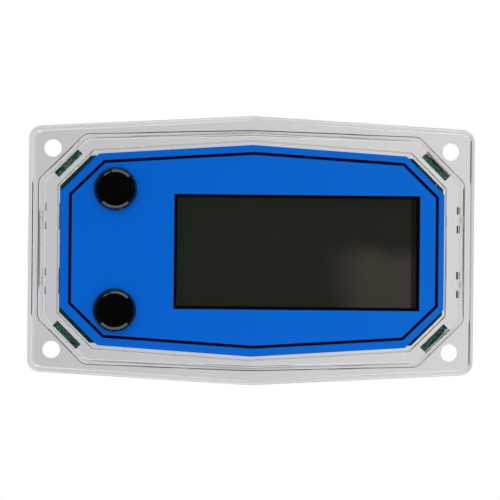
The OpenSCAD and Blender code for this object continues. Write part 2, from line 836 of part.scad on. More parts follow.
// A leaf spring with a raised middle between the holder's base and the cell's cap
module battery_negative_springs() {
  foot_z = board_recess - holder_base_t;
  crown_z = cell_z + rest_gap;
  color("lightgray") upright() for (side = [-1, 1]) at_cell(side) translate([0, spring_w / 2, 0])
    rotate([90, 0, 0]) linear_extrude(spring_w) polygon([
      [-spring_l / 2, foot_z],
      [-spring_l / 2, foot_z - spring_t],
      [-spring_l / 4, foot_z - spring_t],
      [-spring_l / 8, crown_z],
      [spring_l / 8, crown_z],
      [spring_l / 4, foot_z - spring_t],
      [spring_l / 2, foot_z - spring_t],
      [spring_l / 2, foot_z],
      [spring_l / 4 - spring_t, foot_z],
      [spring_l / 8 - spring_t / 2, crown_z + spring_t],
      [-spring_l / 8 + spring_t / 2, crown_z + spring_t],
      [-spring_l / 4 + spring_t, foot_z]
    ]);
}

coil_back_z = board_recess - coil_l;
bobbin_bore_d = core_d + 2 * core_gap;
bobbin_tube_d = bobbin_bore_d + 2 * coil_tube_wall;
winding_d = coil_d - 2 * coil_fill_gap;

module coil_bobbin() {
  color([0.12, 0.12, 0.12]) upright() difference() {
    union() {
      rod(0, 0, coil_d, board_recess - coil_flange_t, board_recess);
      rod(0, 0, bobbin_tube_d, coil_back_z, board_recess);
      rod(0, 0, coil_d, coil_back_z, coil_back_z + coil_flange_t);
    }
    rod(0, 0, bobbin_bore_d, coil_back_z - cut, board_recess - core_sink);
  }
}

module coil_winding() {
  color("peru") upright() difference() {
    rod(0, 0, winding_d, coil_back_z + coil_flange_t, board_recess - coil_flange_t);
    rod(0, 0, bobbin_tube_d, coil_back_z, board_recess);
  }
}

module coil_core() {
  color("dimgray") upright()
    rod(0, 0, core_d, coil_back_z - core_proud, board_recess - core_sink);
}

// Two leads that run out from the winding under the flange and turn down to the board
module coil_leads() {
  lead_z = board_recess - coil_flange_t;
  color("peru") upright() for (sx = [-1, 1]) translate([sx * (winding_d + coil_lead_l) / 2, 0, 0]) {
    block(0, 0, coil_lead_l, coil_lead_d, lead_z - coil_lead_d, lead_z);
    block(sx * (coil_lead_l - coil_lead_d) / 2, 0, coil_lead_d, coil_lead_d, lead_z - coil_lead_d,
      board_recess);
  }
}

module calibrate_button() { push_button(1); }
module display_button() { push_button(-1); }
module calibrate_button_ring() { button_ring(1); }
module display_button_ring() { button_ring(-1); }
module calibrate_button_clip() { button_clip(1); }
module display_button_clip() { button_clip(-1); }
module calibrate_switch() { switch_body(1); }
module display_switch() { switch_body(-1); }
module calibrate_switch_plunger() { switch_plunger(1); }
module display_switch_plunger() { switch_plunger(-1); }
module battery_holder_left() { battery_holder(-1); }
module battery_holder_right() { battery_holder(1); }
module battery_left() { coin_cell(-1); }
module battery_right() { coin_cell(1); }

front_housing();
face_label();
perimeter_seal();
calibrate_button();
display_button();
calibrate_button_ring();
display_button_ring();
calibrate_button_clip();
display_button_clip();
calibrate_switch();
display_switch();
calibrate_switch_plunger();
display_switch_plunger();
switch_terminals();
lcd_front_film();
lcd_front_glass();
lcd_rear_glass();
lcd_rear_film();
lcd_bezel();
contact_strips();
circuit_board();
board_screws();
controller_chip();
chip_leads();
crystal();
chip_resistors();
chip_capacitors();
battery_holder_left();
battery_holder_right();
battery_left();
battery_right();
battery_positive_clips();
battery_negative_springs();
coil_bobbin();
coil_winding();
coil_core();
coil_leads();
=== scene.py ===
"""Looks of a turbine flow meter's display head: finishes, finer pieces, light and camera."""
import json
import math

import bpy
import bmesh
from mathutils import Matrix, Vector


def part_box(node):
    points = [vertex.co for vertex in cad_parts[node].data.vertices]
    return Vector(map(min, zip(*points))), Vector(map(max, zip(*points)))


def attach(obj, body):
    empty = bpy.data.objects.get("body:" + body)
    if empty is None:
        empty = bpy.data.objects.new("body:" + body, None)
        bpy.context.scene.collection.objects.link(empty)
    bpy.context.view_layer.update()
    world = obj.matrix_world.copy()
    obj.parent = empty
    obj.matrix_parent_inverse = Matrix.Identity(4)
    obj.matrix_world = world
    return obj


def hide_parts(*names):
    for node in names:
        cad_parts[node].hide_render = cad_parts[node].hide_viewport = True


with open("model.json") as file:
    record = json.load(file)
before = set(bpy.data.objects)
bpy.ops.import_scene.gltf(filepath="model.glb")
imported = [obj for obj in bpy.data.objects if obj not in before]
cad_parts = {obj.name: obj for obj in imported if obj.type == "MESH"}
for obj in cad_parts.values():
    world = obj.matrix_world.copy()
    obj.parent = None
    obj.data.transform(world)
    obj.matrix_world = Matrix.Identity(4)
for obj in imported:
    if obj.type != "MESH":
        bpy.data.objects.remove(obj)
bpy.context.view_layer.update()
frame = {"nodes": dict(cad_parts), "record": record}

MM = 0.001
NODES = frame["nodes"]

# The Mix node's sockets for colours, by number, since its other types use the same names
MIX_SHARE, MIX_FIRST, MIX_SECOND = 0, 6, 7
MIX_COLOUR = 2


class Wire:
    """A value that varies over a surface. Arithmetic on wires adds Math nodes to their tree."""

    def __init__(self, tree, socket):
        self.tree = tree
        self.socket = socket

    def math(self, operation, *values):
        return self.tree.node("ShaderNodeMath", {"operation": operation}, values)

    def __add__(self, other):
        return self.math("ADD", self, other)

    __radd__ = __add__

    def __sub__(self, other):
        return self.math("SUBTRACT", self, other)

    def __rsub__(self, other):
        return self.math("SUBTRACT", other, self)

    def __mul__(self, other):
        return self.math("MULTIPLY", self, other)

    __rmul__ = __mul__

    def __truediv__(self, other):
        return self.math("DIVIDE", self, other)

    def __rtruediv__(self, other):
        return self.math("DIVIDE", other, self)

    def __abs__(self):
        return self.math("ABSOLUTE", self)

    def least(self, other):
        return self.math("MINIMUM", self, other)

    def most(self, other):
        return self.math("MAXIMUM", self, other)

    def root(self):
        return self.math("SQRT", self)

    def fraction(self):
        return self.math("FRACT", self)

    def angle_from(self, other):
        """The angle from the other's axis towards this one's, in radians."""
        return self.math("ARCTAN2", self, other)

    def above(self, edge, soft):
        """1 where the value is over the edge and 0 where it is under, with a soft step between."""
        return self.tree.node("ShaderNodeMapRange", {"interpolation_type": "SMOOTHSTEP"},
                              {"Value": self, "From Min": edge - soft / 2,
                               "From Max": edge + soft / 2})

    def within(self, low, high, soft):
        """1 between two values, with soft steps at both."""
        return self.above(low, soft) - self.above(high, soft)


class Tree:
    """The nodes of one finish, or of the studio round the object."""

    def __init__(self, owner):
        owner.use_nodes = True
        self.tree = owner.node_tree
        self.tree.nodes.clear()

    def node(self, kind, settings=None, values=(), output=0):
        """Adds a node: its settings, then its sockets' values or links, by name or in order."""
        made = self.tree.nodes.new(kind)
        for name, setting in (settings or {}).items():
            setattr(made, name, setting)
        pairs = values.items() if isinstance(values, dict) else enumerate(values)
        for key, value in pairs:
            if isinstance(value, Wire):
                self.tree.links.new(value.socket, made.inputs[key])
            else:
                made.inputs[key].default_value = value
        return Wire(self, made.outputs[output]) if made.outputs else None

    def blend(self, share, first, second):
        """A colour between two colours."""
        colours = [c if isinstance(c, Wire) else (*c, 1) for c in (first, second)]
        return self.node("ShaderNodeMix", {"data_type": "RGBA"},
                         {MIX_SHARE: share, MIX_FIRST: colours[0], MIX_SECOND: colours[1]},
                         output=MIX_COLOUR)

    def place(self):
        """The point on the object, in its own frame."""
        return self.node("ShaderNodeTexCoord", output="Object")

    def axes(self, vector=None):
        """The three coordinates of a vector, or of the point on the object."""
        split = self.node("ShaderNodeSeparateXYZ", {}, [vector or self.place()])
        return [Wire(self, socket) for socket in split.socket.node.outputs]

    def facing(self):
        """How far the surface faces backwards, from -1 to 1."""
        return self.axes(self.node("ShaderNodeNewGeometry", output="Normal"))[1]

    def rays(self, kind):
        """1 for rays of one kind and 0 for the others."""
        return self.node("ShaderNodeLightPath", output=kind)

    def stretched(self, scale):
        """The point on the object with its coordinates scaled, for a grain with a direction."""
        return self.node("ShaderNodeVectorMath", {"operation": "MULTIPLY"}, [self.place(), scale])

    def noise(self, size, detail=3, vector=None):
        """Cloudy values from 0 to 1, whose patches are about size metres across."""
        return self.node("ShaderNodeTexNoise", {},
                         {"Vector": vector or self.place(), "Scale": 1 / size, "Detail": detail})

    def cells(self, size, randomness):
        """Distance to the middle of the nearest of scattered cells, about size metres across."""
        return self.node("ShaderNodeTexVoronoi", {"feature": "F1"},
                         {"Vector": self.place(), "Scale": 1 / size, "Randomness": randomness})

    def bump(self, height, depth):
        """A surface normal that follows a height from 0 to 1, depth metres deep."""
        return self.node("ShaderNodeBump", {},
                         {"Height": height, "Distance": depth, "Strength": 1.0})


def finish(name, paint, *looks):
    """A material whose tree and shader are made by paint, which returns the shader's sockets."""
    material = bpy.data.materials.new(name)
    tree = Tree(material)
    shader = tree.node("ShaderNodeBsdfPrincipled", {}, paint(tree, *looks))
    tree.node("ShaderNodeOutputMaterial", {}, [shader])
    return material


def uneven(roughness, grain, spread):
    """A roughness that a grain varies by a share of itself."""
    return roughness * (1 - spread / 2 + spread * grain)


MOULD_CLOUD = 6 * MM
MOULD_SPREAD = 0.4


def moulded(tree, colour, shade, roughness, grain=0.35 * MM, depth=0.004 * MM):
    """Moulded plastic or rubber: two close shades in soft clouds, and a fine grain."""
    fine = tree.noise(grain, detail=2)
    return {
        "Base Color": tree.blend(tree.noise(MOULD_CLOUD), colour, shade),
        "Roughness": uneven(roughness, fine, MOULD_SPREAD),
        "Normal": tree.bump(fine, depth),
    }


METAL_CLOUD = 3 * MM
METAL_SPREAD = 0.6
METAL_GRAIN = 0.12 * MM
METAL_DEPTH = 0.001 * MM


def metal(tree, colour, shade, roughness, stretch):
    """Metal with a drawn or brushed grain, which a small stretch draws out along its axis."""
    brushed = tree.noise(METAL_GRAIN, vector=tree.stretched(stretch))
    return {
        "Base Color": tree.blend(tree.noise(METAL_CLOUD), colour, shade),
        "Metallic": 1.0,
        "Roughness": uneven(roughness, brushed, METAL_SPREAD),
        "Normal": tree.bump(brushed, METAL_DEPTH),
    }


# Clear plastic: its tints, from low on the left to high on the right, and its haze
CLEAR_COOL = (0.802, 0.800, 0.832)
CLEAR_WARM = (0.826, 0.818, 0.808)
CLEAR_SPAN = 110 * MM
HAZE_TINT = (0.84, 0.84, 0.84)
HAZE_SIZE = 1.2 * MM
HAZE_SHARE = 0.4
CLEAR_ROUGH = 0.02
HAZE_ROUGH = 0.05
CLEAR_IOR = 1.49
FLOW_SIZE = 14 * MM
FLOW_STRETCH = (1, 1, 2.2)
FLOW_DEPTH = 0.006 * MM


def clear_plastic(tree):
    """Clear acrylic with soft flow marks and a little haze."""
    x, _, z = tree.axes()
    tint = tree.blend((x + z).above(0, CLEAR_SPAN), CLEAR_COOL, CLEAR_WARM)
    flow = tree.noise(FLOW_SIZE, detail=2, vector=tree.stretched(FLOW_STRETCH))
    haze = tree.noise(HAZE_SIZE)
    return {
        "Base Color": tree.blend(HAZE_SHARE * haze, tint, HAZE_TINT),
        "Roughness": CLEAR_ROUGH + HAZE_ROUGH * haze,
        "IOR": CLEAR_IOR,
        "Transmission Weight": 1.0,
        "Normal": tree.bump(flow, FLOW_DEPTH),
    }


# Label: its blue, lighter to the right with painted light, with deeper mottles, and its film's
# gloss and weave
LABEL_BLUE = (0.0022, 0.134, 0.68)
LABEL_BLUE_RIGHT_PAINTED_LIGHT = (0.0042, 0.152, 0.71)
LABEL_BLUE_DEEP = (0.003, 0.10, 0.50)
LABEL_SPAN = 90 * MM
MOTTLE_SIZE = 2.5 * MM
MOTTLE_SHARE = 0.10
LABEL_ROUGH = 0.17
LABEL_SPECULAR = 0.3
WEAVE_SIZE = 0.25 * MM
WEAVE_ROUGH = 0.08
WEAVE_DEPTH = 0.0015 * MM

# Printed outline on the label, in millimetres: its corner points in the upper right quarter, its
# line's width and soft edge, and its shift
OUTLINE = [(42.1, 12.5), (34.2, 20.2), (0, 22.4)]
OUTLINE_W = 0.7
OUTLINE_SOFT = 0.12
OUTLINE_SHIFT_X = 0.33
OUTLINE_SHIFT_Z = 0.12
INK = (0.0015, 0.0015, 0.003)

# Back of the label, and the painted light that glows on it in place of light through the housing,
# from where its surface faces this far backwards
LABEL_BACK = (0.50, 0.50, 0.52)
LABEL_BACK_PAINTED_LIGHT = (0.24, 0.24, 0.25)
NO_PAINTED_LIGHT = (0, 0, 0)
BACK_FACING = (0.5, 0.1)


def outside_peaked(x, z, points):
    """Distance outside an outline mirrored about both axes, in metres, and negative inside."""
    edges = [((points[0][0], 0), points[0])] + list(zip(points, points[1:]))
    far = None
    for (x0, z0), (x1, z1) in edges:
        length = math.hypot(x1 - x0, z1 - z0)
        nx = (z1 - z0) / length
        nz = (x0 - x1) / length
        side = nx * abs(x) + nz * abs(z) - (nx * x0 + nz * z0) * MM
        far = side if far is None else far.most(side)
    return far


def label_print(tree):
    """Blue print with a black outline that follows the label's edge, on film with a pale back.

    The back is only seen through the clear housing, which hides the lamps from it, so painted
    light glows on it in their place."""
    x, _, z = tree.axes()
    # Painted light: the blue grows lighter towards the right
    blue = tree.blend(x.above(0, LABEL_SPAN), LABEL_BLUE, LABEL_BLUE_RIGHT_PAINTED_LIGHT)
    mottle = tree.noise(MOTTLE_SIZE, detail=4)
    mottled = tree.blend(MOTTLE_SHARE * mottle, blue, LABEL_BLUE_DEEP)
    outside = outside_peaked(x - OUTLINE_SHIFT_X * MM, z - OUTLINE_SHIFT_Z * MM, OUTLINE)
    line = outside.within(-OUTLINE_W * MM, 0, OUTLINE_SOFT * MM)
    weave = tree.noise(WEAVE_SIZE, detail=2)
    back = tree.facing().above(*BACK_FACING)
    return {
        "Base Color": tree.blend(back, tree.blend(line, mottled, INK), LABEL_BACK),
        # Painted light: the back glows, standing in for the lamps that the housing hides
        "Emission Color": tree.blend(back, NO_PAINTED_LIGHT, LABEL_BACK_PAINTED_LIGHT),
        "Emission Strength": 1.0,
        "Roughness": LABEL_ROUGH + WEAVE_ROUGH * weave,
        "Specular IOR Level": LABEL_SPECULAR,
        "Normal": tree.bump(weave, WEAVE_DEPTH),
    }


# The display's window, the border printed inside it and a band of painted shade from the bezel at
# its right end
WINDOW_X = 10.2 * MM
WINDOW_Z = -0.3 * MM
WINDOW_W = 56 * MM
WINDOW_H = 26.2 * MM
BORDER_W = 0.7 * MM
BORDER_SOFT = 0.25 * MM
BORDER_BLACK = (0.0010, 0.0010, 0.0012)
BAND_W = 1.9 * MM
BAND_SOFT = 0.3 * MM
BAND_SHARE = 0.75
BAND_PAINTED_SHADE = (0.030, 0.030, 0.027)

# The display's cloudy green black, and the warm cast in its lower right, whose edges waver
FILM_DARK = (0.092, 0.103, 0.069)
FILM_LIGHT = (0.106, 0.116, 0.082)
FILM_CLOUD = 5 * MM
FILM_ROUGH = 0.16
FILM_CLOUD_ROUGH = 0.08
FILM_SPECULAR = 0.35
CAST_WARM = (0.305, 0.258, 0.206)
CAST_FROM_X = (24 * MM, 13 * MM)
CAST_BELOW_Z = (3 * MM, 7 * MM)
WAVER_SIZE = 12 * MM
WAVER_X = 6 * MM
WAVER_Z = 5 * MM
WAVER_DEPTH = 0.002 * MM


def display_film(tree):
    """Polarising film over the display."""
    x, _, z = tree.axes()
    side_x = abs(x - WINDOW_X) - WINDOW_W / 2
    side_z = abs(z - WINDOW_Z) - WINDOW_H / 2
    border = side_x.most(side_z).above(-BORDER_W, BORDER_SOFT)
    # Painted shade of the bezel along the window's right end
    painted_shade_band = x.above(WINDOW_X + WINDOW_W / 2 - BAND_W, BAND_SOFT)
    waver = tree.noise(WAVER_SIZE, detail=2)
    right = (x + WAVER_X * waver).above(*CAST_FROM_X)
    low = 1 - (z + WAVER_Z * waver).above(*CAST_BELOW_Z)
    cloud = tree.noise(FILM_CLOUD)
    film = tree.blend(cloud, FILM_DARK, FILM_LIGHT)
    cast = tree.blend(right * low, film, CAST_WARM)
    banded = tree.blend(BAND_SHARE * painted_shade_band, cast, BAND_PAINTED_SHADE)
    return {
        "Base Color": tree.blend(border, banded, BORDER_BLACK),
        "Roughness": FILM_ROUGH + FILM_CLOUD_ROUGH * cloud,
        "Specular IOR Level": FILM_SPECULAR,
        "Normal": tree.bump(waver, WAVER_DEPTH),
    }


GLASS_PALE = (0.86, 0.92, 0.90)
GLASS_GREEN = (0.80, 0.88, 0.86)
GLASS_CLOUD = 8 * MM
GLASS_ROUGH = 0.03
GLASS_IOR = 1.5
GLASS_CLEAR = 0.8


def clear_glass(tree):
    """Thin display glass with a faint green tint."""
    cloud = tree.noise(GLASS_CLOUD, detail=2)
    return {
        "Base Color": tree.blend(cloud, GLASS_PALE, GLASS_GREEN),
        "Roughness": GLASS_ROUGH + GLASS_ROUGH * cloud,
        "IOR": GLASS_IOR,
        "Transmission Weight": GLASS_CLEAR,
    }


# Board: its mask in soft clouds
MASK_DARK = (0.008, 0.105, 0.060)
MASK_LIGHT = (0.012, 0.135, 0.082)
MASK_CLOUD = 4 * MM
MASK_ROUGH = 0.28
MASK_CLOUD_ROUGH = 0.2
MASK_DEPTH = 0.012 * MM
MASK_CLOUD_DEPTH = 0.3

# Its tracks, as lanes with two bends, in patches: each lane runs along its middle, and a track's
# half width and soft edge are shares of the pitch
TRACK_PITCH = 0.9 * MM
TRACK_BEND = 4.5 * MM
TRACK_BEND_X = (-22 * MM, 9 * MM)
TRACK_MIDDLE = 0.5
TRACK_EDGE = (0.15, 0.06)
TRACK_GREEN = (0.040, 0.23, 0.13)
TRACK_SHARE = 0.75
PATCH_SIZE = 9 * MM
PATCH_EDGE = (0.5, 0.04)

# Its plated holes
HOLE_SPACE = 5.5 * MM
HOLE_SCATTER = 0.8
HOLE_EDGE = (0.085, 0.02)
HOLE_TIN = (0.55, 0.52, 0.42)
HOLE_METAL = 0.8

# Its bare edges, layered and speckled, where the surface faces neither forwards nor backwards
LAYER_SIZE = 0.9 * MM
LAYER_STRETCH = (1, 3.5, 1)
LAYER_EDGE = (0.56, 0.08)
SPECK_SIZE = 0.3 * MM
SPECK_EDGE = (0.62, 0.06)
EDGE_DARK = (0.005, 0.115, 0.072)
EDGE_LIGHT = (0.24, 0.62, 0.48)
EDGE_FACING = (0.5, 0.1)
EDGE_ROUGH = 0.3


def board_mask(tree):
    """Green solder mask over fine tracks and plated holes, and bare fibre at the board's edges."""
    x, _, z = tree.axes()
    near, far = (TRACK_BEND * x.above(bend, TRACK_BEND) for bend in TRACK_BEND_X)
    lane = ((z + near - far) / TRACK_PITCH).fraction()
    tracks = 1 - abs(lane - TRACK_MIDDLE).above(*TRACK_EDGE)
    copper = tracks * tree.noise(PATCH_SIZE, detail=1).above(*PATCH_EDGE)
    cloud = tree.noise(MASK_CLOUD)
    green = tree.blend(cloud, MASK_DARK, MASK_LIGHT)
    tracked = tree.blend(TRACK_SHARE * copper, green, TRACK_GREEN)
    hole = 1 - tree.cells(HOLE_SPACE, HOLE_SCATTER).above(*HOLE_EDGE)
    plated = tree.blend(hole, tracked, HOLE_TIN)
    layers = tree.noise(LAYER_SIZE, vector=tree.stretched(LAYER_STRETCH)).above(*LAYER_EDGE)
    specks = tree.noise(SPECK_SIZE, detail=2).above(*SPECK_EDGE)
    edge_green = tree.blend(layers.most(specks), EDGE_DARK, EDGE_LIGHT)
    edge = 1 - abs(tree.facing()).above(*EDGE_FACING)
    return {
        "Base Color": tree.blend(edge, plated, edge_green),
        "Metallic": HOLE_METAL * hole * (1 - edge),
        "Roughness": MASK_ROUGH + MASK_CLOUD_ROUGH * cloud + EDGE_ROUGH * edge,
        "Normal": tree.bump(tracks + MASK_CLOUD_DEPTH * cloud, MASK_DEPTH),
    }


# Coin cells: how far out they are, their turned rings and their wear
CELL_X = 25.0 * MM
RING_SIZE = 0.16 * MM
RING_DARK = (0.50, 0.50, 0.50)
RING_LIGHT = (0.76, 0.76, 0.75)
RING_ROUGH = 0.16
RING_DEPTH = 0.08
CELL_ROUGH = 0.18
WEAR_SIZE = 4 * MM
WEAR_SHARE = 0.5
WEAR_GREY = (0.44, 0.43, 0.42)

# The plus sign stamped in them: how far out it is, half its length, how many times longer than
# wide its bars are, and its depth
PLUS_OUT = 7.6 * MM
PLUS_ARM = 1.3 * MM
PLUS_SLIM = 6
PLUS_SOFT = 0.1 * MM
PLUS_SHARE = 0.65
PLUS_GREY = (0.16, 0.16, 0.16)
PLUS_DEPTH = 0.05 * MM


def bar(along, across):
    """One bar of the plus sign, from the distances along it and across it."""
    return 1 - along.most(PLUS_SLIM * across).above(PLUS_ARM, PLUS_SOFT)


def cell_metal(tree):
    """The nickelled can of a coin cell, with turned rings, a stamped plus sign and light wear."""
    x, _, z = tree.axes()
    across = abs(x) - CELL_X
    radius = (across * across + z * z).root()
    outward = tree.node("ShaderNodeCombineXYZ", {}, [radius])
    rings = tree.noise(RING_SIZE, detail=2, vector=outward)
    side = abs(across - PLUS_OUT)
    plus = bar(side, abs(z)).most(bar(abs(z), side))
    turned = tree.blend(rings, RING_DARK, RING_LIGHT)
    worn = tree.blend(WEAR_SHARE * tree.noise(WEAR_SIZE, detail=4), turned, WEAR_GREY)
    return {
        "Base Color": tree.blend(PLUS_SHARE * plus, worn, PLUS_GREY),
        "Metallic": 1.0,
        "Roughness": CELL_ROUGH + RING_ROUGH * rings,
        "Normal": tree.bump(RING_DEPTH * rings - plus, PLUS_DEPTH),
    }


def coated_metal(tree, coat, *looks):
    """Metal under a clear enamel."""
    return {**metal(tree, *looks), "Coat Weight": coat}


def glossy_plastic(tree, specular, *looks):
    """Moulded plastic with its own strength of gloss."""
    return {**moulded(tree, *looks), "Specular IOR Level": specular}


# For each slot, what paints it and with which looks: two close shades and a roughness, then the
# grain and its depth for the buttons, and the grain's stretch for metals. A coat or gloss is first
FINISHES = {
    "clear_plastic": (clear_plastic,),
    "label": (label_print,),
    "seal": (moulded, (0.62, 0.62, 0.60), (0.54, 0.54, 0.52), 0.45),
    "button": (glossy_plastic, 0.36, (0.0015, 0.0015, 0.0018), (0.003, 0.003, 0.0035), 0.06,
               0.8 * MM, 0.0004 * MM),
    "black_rubber": (moulded, (0.014, 0.014, 0.014), (0.022, 0.022, 0.022), 0.6),
    "spring_steel": (metal, (0.60, 0.60, 0.61), (0.48, 0.48, 0.49), 0.26, (1, 0.1, 0.1)),
    "black_plastic": (moulded, (0.012, 0.012, 0.013), (0.022, 0.022, 0.023), 0.42),
    "grey_plastic": (moulded, (0.045, 0.045, 0.048), (0.065, 0.065, 0.068), 0.40),
    "tinned_metal": (metal, (0.70, 0.70, 0.67), (0.56, 0.56, 0.54), 0.32, (1, 1, 1)),
    "display_film": (display_film,),
    "display_glass": (clear_glass,),
    "reflector_film": (moulded, (0.42, 0.43, 0.38), (0.34, 0.35, 0.30), 0.35),
    "contact_rubber": (moulded, (0.05, 0.05, 0.05), (0.09, 0.09, 0.09), 0.6),
    "board": (board_mask,),
    "ceramic": (moulded, (0.40, 0.28, 0.16), (0.50, 0.37, 0.23), 0.5),
    "cell_steel": (cell_metal,),
    "copper": (coated_metal, 0.4, (0.62, 0.24, 0.09), (0.45, 0.15, 0.05), 0.30, (1, 1, 1)),
    "iron": (metal, (0.20, 0.20, 0.21), (0.13, 0.12, 0.12), 0.42, (1, 0.15, 1)),
}
MATERIALS = {slot: finish(slot, *looks) for slot, looks in FINISHES.items()}


def dress_nodes():
    """Gives every carried-over node the finish of its slot in the record."""
    for part in frame["record"]["subparts"]:
        mesh = NODES[part["node"]].data
        for k in range(len(mesh.materials)):
            mesh.materials[k] = MATERIALS[part["material_slot"]]


TURNED_SHARP = math.radians(35)


def lathe(name, profile, centre, turns, ring=False):
    """A solid turned about an axis along Y: profile gives radius and depth pairs, in millimetres.

    A ring is open along its axis, so its last pair joins its first."""
    solid = bmesh.new()
    spokes = [2 * math.pi * k / turns for k in range(turns)]
    rings = [[solid.verts.new(((centre[0] + radius * math.cos(spoke)) * MM, depth * MM,
                               (centre[1] + radius * math.sin(spoke)) * MM))
              for spoke in (spokes if radius else spokes[:1])]
             for radius, depth in profile]
    for one, two in zip(rings, rings[1:] + rings[:1] if ring else rings[1:]):
        for k in range(turns):
            after = (k + 1) % turns
            corners = [one[k % len(one)], one[after % len(one)],
                       two[after % len(two)], two[k % len(two)]]
            solid.faces.new(dict.fromkeys(corners))
    bmesh.ops.recalc_face_normals(solid, faces=solid.faces)
    mesh = bpy.data.meshes.new(name)
    solid.to_mesh(mesh)
    solid.free()
    for face in mesh.polygons:
        face.use_smooth = True
    mesh.set_sharp_from_angle(angle=TURNED_SHARP)
    piece = bpy.data.objects.new(name, mesh)
    bpy.context.scene.collection.objects.link(piece)
    return piece


def arc(centre_r, centre_y, radius, start, stop, steps):
    """A round stretch of a turned profile: angles in degrees, from outwards to the front."""
    angles = [math.radians(start + (stop - start) * k / steps) for k in range(steps + 1)]
    return [(centre_r + radius * math.cos(a), centre_y - radius * math.sin(a)) for a in angles]


# Push buttons, in millimetres, as the source has them, with a rounder rim and foot. A groove has
# its two ends' depths and its radius. The dome's slope where it meets the rim is in degrees
BUTTON_X = -31.2
BUTTON_Z = 13.8
BUTTON_R = 4.65
BUTTON_FOOT_Y = -8.9
BUTTON_H = 1.7
BUTTON_DOME = 0.4
BUTTON_DOME_SLOPE = 10
BUTTON_RIM_R = 1.2
BUTTON_FOOT_R = 0.15
BUTTON_TURNS = 96
FOOT_STEPS = 4
RIM_STEPS = 24
DOME_STEPS = 16
STEM_R = 2.0
STEM_END_Y = -5.12
STEM_CHAMFER = 0.1
CLIP_GROOVE = (-5.63, -6.17, 1.5)
RING_GROOVE = (-6.8, -7.7, 1.15)


def push_button(node, body, side):
    """A glossy button cap with a rounded rim, and its stem with the clip's and ring's grooves."""
    stem = [(0, STEM_END_Y), (STEM_R - STEM_CHAMFER, STEM_END_Y),
            (STEM_R, STEM_END_Y - STEM_CHAMFER)]
    for near, far, radius in (CLIP_GROOVE, RING_GROOVE):
        stem += [(STEM_R, near), (radius, near), (radius, far), (STEM_R, far)]
    foot_r = BUTTON_R - BUTTON_FOOT_R
    foot = [(STEM_R, BUTTON_FOOT_Y), (foot_r, BUTTON_FOOT_Y)]
    foot += arc(foot_r, BUTTON_FOOT_Y - BUTTON_FOOT_R, BUTTON_FOOT_R, -90, 0, FOOT_STEPS)[1:]
    tip_y = BUTTON_FOOT_Y - BUTTON_H
    rim = arc(BUTTON_R - BUTTON_RIM_R, tip_y + BUTTON_DOME + BUTTON_RIM_R, BUTTON_RIM_R,
              0, 90 - BUTTON_DOME_SLOPE, RIM_STEPS)
    top_r, top_y = rim[-1]
    dome = [(top_r * s, top_y + (tip_y - top_y) * (1 - s * s))
            for s in (1 - k / DOME_STEPS for k in range(1, DOME_STEPS + 1))]
    piece = lathe(node.replace("_button", "_cap"), stem + foot + rim + dome,
                  (BUTTON_X, side * BUTTON_Z), BUTTON_TURNS)
    piece.data.materials.append(MATERIALS["button"])
    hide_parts(node)
    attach(piece, body)


# The coil's wire: its turns, how far each stands out, in millimetres, and its bore's radius
WIRE_TURNS = 17
WIRE_ROUND = 0.14
WIRE_STEPS = 6
WINDING_BORE_R = 2.75
WINDING_TURNS = 72


def wound_coil():
    """The sensing coil's wire, turn beside turn, in the plain winding's place."""
    low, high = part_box("coil_winding")
    outer = (high[0] - low[0]) / 2 / MM
    first, last = low[1] / MM, high[1] / MM
    pitch = (last - first) / WIRE_TURNS
    profile = [(WINDING_BORE_R, first)]
    for k in range(WIRE_TURNS):
        for angle in (math.pi * j / WIRE_STEPS for j in range(WIRE_STEPS)):
            profile.append((outer - WIRE_ROUND * (1 - math.sin(angle)),
                            first + pitch * (k + (1 - math.cos(angle)) / 2)))
    profile += [(outer - WIRE_ROUND, last), (WINDING_BORE_R, last)]
    centre = [(low[k] + high[k]) / 2 / MM for k in (0, 2)]
    coil = lathe("coil_wire", profile, centre, WINDING_TURNS, ring=True)
    coil.data.materials.append(MATERIALS["copper"])
    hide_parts("coil_winding")
    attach(coil, "head")


# Nodes with rounded edges: the round's width in millimetres and its segments
SOFTENED = {
    "front_housing": (0.02, 2),
    "battery_holder_left": (0.18, 2),
    "battery_holder_right": (0.18, 2),
    "coil_bobbin": (0.12, 2),
    "crystal": (0.5, 4),
    "controller_chip": (0.08, 2),
}
SOFTEN_WELD = 0.0005 * MM
SOFTEN_FLAT = math.radians(0.4)
SOFTEN_SHARP = math.radians(30)


def soften(node, width, segments):
    """Rounds a node's sharp edges a little, as moulded and stamped pieces have them."""
    piece = NODES[node]
    weld = piece.modifiers.new("weld", "WELD")
    weld.merge_threshold = SOFTEN_WELD
    flat = piece.modifiers.new("flat", "DECIMATE")
    flat.decimate_type = "DISSOLVE"
    flat.angle_limit = SOFTEN_FLAT
    bevel = piece.modifiers.new("bevel", "BEVEL")
    bevel.width = width * MM
    bevel.segments = segments
    bevel.limit_method = "ANGLE"
    bevel.angle_limit = SOFTEN_SHARP
    bevel.harden_normals = True


# The floor's height and radius, and where it fades out, as shares of the radius
FLOOR_Z = -100 * MM
FLOOR_R = 340 * MM
FLOOR_SEGMENTS = 96
FLOOR_FADE = 0.78
FLOOR_FADE_SOFT = 0.4
PAPER_DARK = (0.90, 0.90, 0.90)
PAPER_LIGHT = (0.93, 0.93, 0.93)
PAPER_CLOUD = 20 * MM


